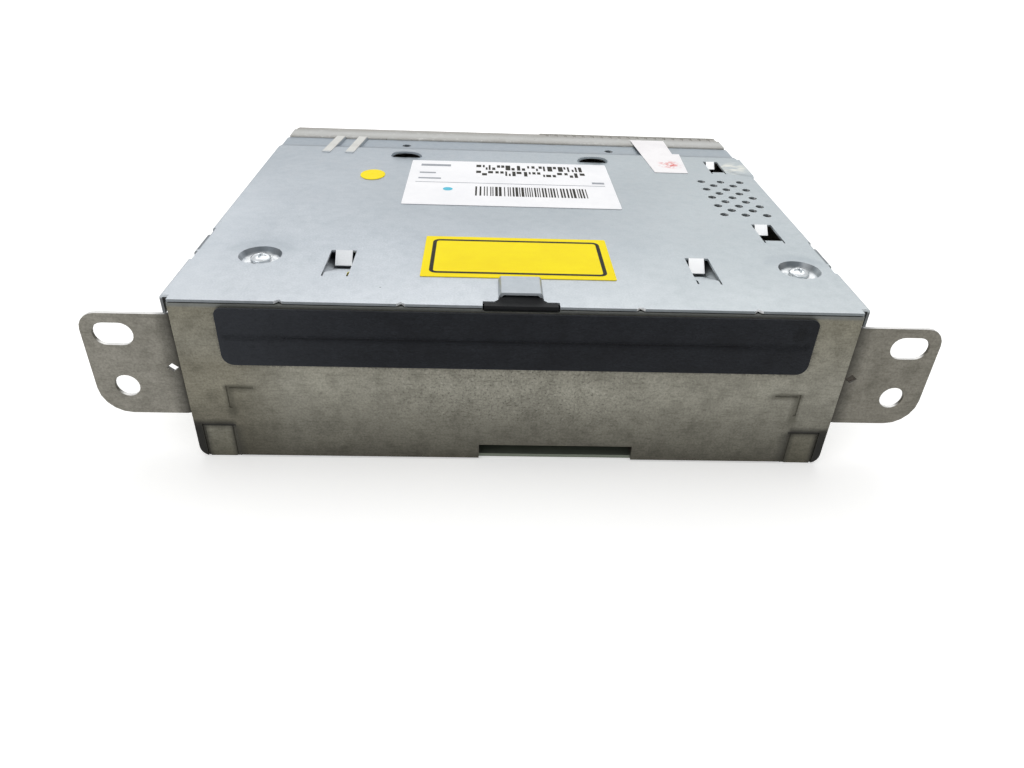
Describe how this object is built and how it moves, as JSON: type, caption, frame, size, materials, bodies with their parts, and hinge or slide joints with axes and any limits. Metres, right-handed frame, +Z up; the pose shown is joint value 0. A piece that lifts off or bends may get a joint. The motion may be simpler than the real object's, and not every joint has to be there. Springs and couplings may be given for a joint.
{
  "type": "car navigation head unit",
  "caption": "Flat steel disc-drive box of a car navigation head unit, with bracket ears, a felt-covered disc slot, a vented lid with bare labels and a finned rear heat sink.",
  "frame": {"origin": "centre of the bounding box's base, on the ground under the case", "axes": "+X to the right seen from the front, +Y from the front plate to the heat sink, +Z up from the floor to the lid"},
  "size_m": [0.2278, 0.166, 0.0514],
  "materials": {
    "blackPlastic": "black, fine texture",
    "brightSteel": "bright zinc plated",
    "castAluminium": "die cast, slightly rough",
    "chip": "dark moulded",
    "circuitBoard": "green solder mask over fibreglass",
    "copper": "lacquered winding",
    "felt": "black felt",
    "flex": "amber film",
    "galvanised": "galvanised sheet, brownish grey, mottled",
    "greyPlastic": "mid grey",
    "lens": "coated, clear",
    "lid": "zinc-coated sheet, light grey, satin",
    "rubber": "soft black",
    "whiteLabel": "white label stock, satin",
    "whitePlastic": "natural white",
    "yellowLabel": "yellow label stock, satin"
  },
  "bodies": {
    "case": {"cover_screw_left": "brightSteel", "cover_screw_right": "brightSteel", "left_bracket": "galvanised", "bracket_screw_left_front": "brightSteel", "bracket_screw_left_rear": "brightSteel", "right_bracket": "galvanised", "bracket_screw_right_front": "brightSteel", "bracket_screw_right_rear": "brightSteel", "rear_heat_sink": "castAluminium", "heat_sink_screw_left": "brightSteel", "heat_sink_screw_right": "brightSteel", "top_cover": "lid", "front_panel": "galvanised", "dust_seal": "felt", "trim_catch": "blackPlastic", "rating_label": "whiteLabel", "warning_label": "yellowLabel", "round_label": "yellowLabel", "seal_label": "whiteLabel", "case_tray": "galvanised", "damper_front_left": "rubber", "damper_rear_left": "rubber", "damper_front_right": "rubber", "damper_rear_right": "rubber", "main_board": "circuitBoard", "processor_spreader": "castAluminium", "tuner_module": "brightSteel", "amplifier_chip": "chip", "amplifier_clip": "brightSteel", "filter_capacitor_1": "chip", "filter_capacitor_2": "chip", "power_coil": "copper", "main_connector": "blackPlastic", "display_socket": "greyPlastic", "data_socket": "greyPlastic", "radio_antenna_socket": "whitePlastic", "position_antenna_socket": "whitePlastic", "flex_cable": "flex"},
    "drive": {"drive_frame": "brightSteel", "upper_disc_guide": "blackPlastic", "spindle_motor": "brightSteel", "guide_rod_front": "brightSteel", "guide_rod_rear": "brightSteel", "feed_motor": "brightSteel", "loading_motor": "brightSteel", "drive_board": "circuitBoard"},
    "turntable": {"turntable": "blackPlastic"},
    "clamp": {"clamp_arm": "brightSteel"},
    "puck": {"clamp_puck": "whitePlastic"},
    "sled": {"pickup_sled": "greyPlastic", "objective_lens": "lens"},
    "lead_screw": {"lead_screw": "brightSteel"},
    "mode_slide": {"mode_slide": "brightSteel"},
    "roller_bracket": {"roller_bracket": "brightSteel"},
    "roller": {"loading_roller": "rubber", "roller_shaft": "brightSteel", "roller_gear": "whitePlastic"},
    "upper_idler": {"upper_idler_gear": "whitePlastic"},
    "lower_idler": {"lower_idler_gear": "whitePlastic"},
    "pinion": {"motor_pinion": "whitePlastic"}
  },
  "joints": [
    {"name": "drive_float", "type": "slide", "parent": "case", "child": "drive", "axis": [0, 0, 1], "range_m": [-0.0008, 0.0008], "stiffness_N_per_m": 20000, "deforming": ["damper_front_left", "damper_rear_left", "damper_front_right", "damper_rear_right", "flex_cable"]},
    {"name": "turntable_spin", "type": "hinge", "parent": "drive", "child": "turntable", "pos_m": [0, -0.01165, 0.0337], "axis": [0, 0, 1], "continuous": true},
    {"name": "mode_slide_travel", "type": "slide", "parent": "drive", "child": "mode_slide", "axis": [0, 1, 0], "range_m": [0, 0.008]},
    {"name": "clamp_lift", "type": "hinge", "parent": "drive", "child": "clamp", "pos_m": [0, 0.04435, 0.043], "axis": [1, 0, 0], "range_deg": [0, 2.36]},
    {"name": "clamp_puck_spin", "type": "hinge", "parent": "clamp", "child": "puck", "pos_m": [0, -0.01165, 0.0413], "axis": [0, 0, 1], "continuous": true},
    {"name": "pickup_feed", "type": "slide", "parent": "drive", "child": "sled", "axis": [1, 0, 0], "range_m": [0, 0.035]},
    {"name": "lead_screw_spin", "type": "hinge", "parent": "drive", "child": "lead_screw", "pos_m": [0, 0.01935, 0.0265], "axis": [1, 0, 0], "range_deg": [0, 3850]},
    {"name": "roller_swing", "type": "hinge", "parent": "drive", "child": "roller_bracket", "pos_m": [0, -0.05465, 0.0305], "axis": [1, 0, 0], "range_deg": [0, 13.05]},
    {"name": "roller_spin", "type": "hinge", "parent": "roller_bracket", "child": "roller", "pos_m": [0, -0.06465, 0.035], "axis": [1, 0, 0], "continuous": true},
    {"name": "upper_idler_spin", "type": "hinge", "parent": "drive", "child": "upper_idler", "pos_m": [0, -0.05594, 0.03991], "axis": [1, 0, 0], "continuous": true},
    {"name": "lower_idler_spin", "type": "hinge", "parent": "drive", "child": "lower_idler", "pos_m": [0, -0.05465, 0.0305], "axis": [1, 0, 0], "continuous": true},
    {"name": "pinion_spin", "type": "hinge", "parent": "drive", "child": "pinion", "pos_m": [0, -0.04969, 0.0263], "axis": [1, 0, 0], "continuous": true}
  ],
  "couplings": [
    {"joint": "clamp_lift", "follows": "mode_slide_travel", "rad_per_m": 5.1354},
    {"joint": "roller_swing", "follows": "mode_slide_travel", "rad_per_m": 28.362},
    {"joint": "lead_screw_spin", "follows": "pickup_feed", "rad_per_m": 1914.9},
    {"joint": "upper_idler_spin", "follows": "roller_spin", "ratio": -0.81818},
    {"joint": "lower_idler_spin", "follows": "roller_spin", "ratio": 1.125},
    {"joint": "pinion_spin", "follows": "roller_spin", "ratio": -1.8}
  ]
}
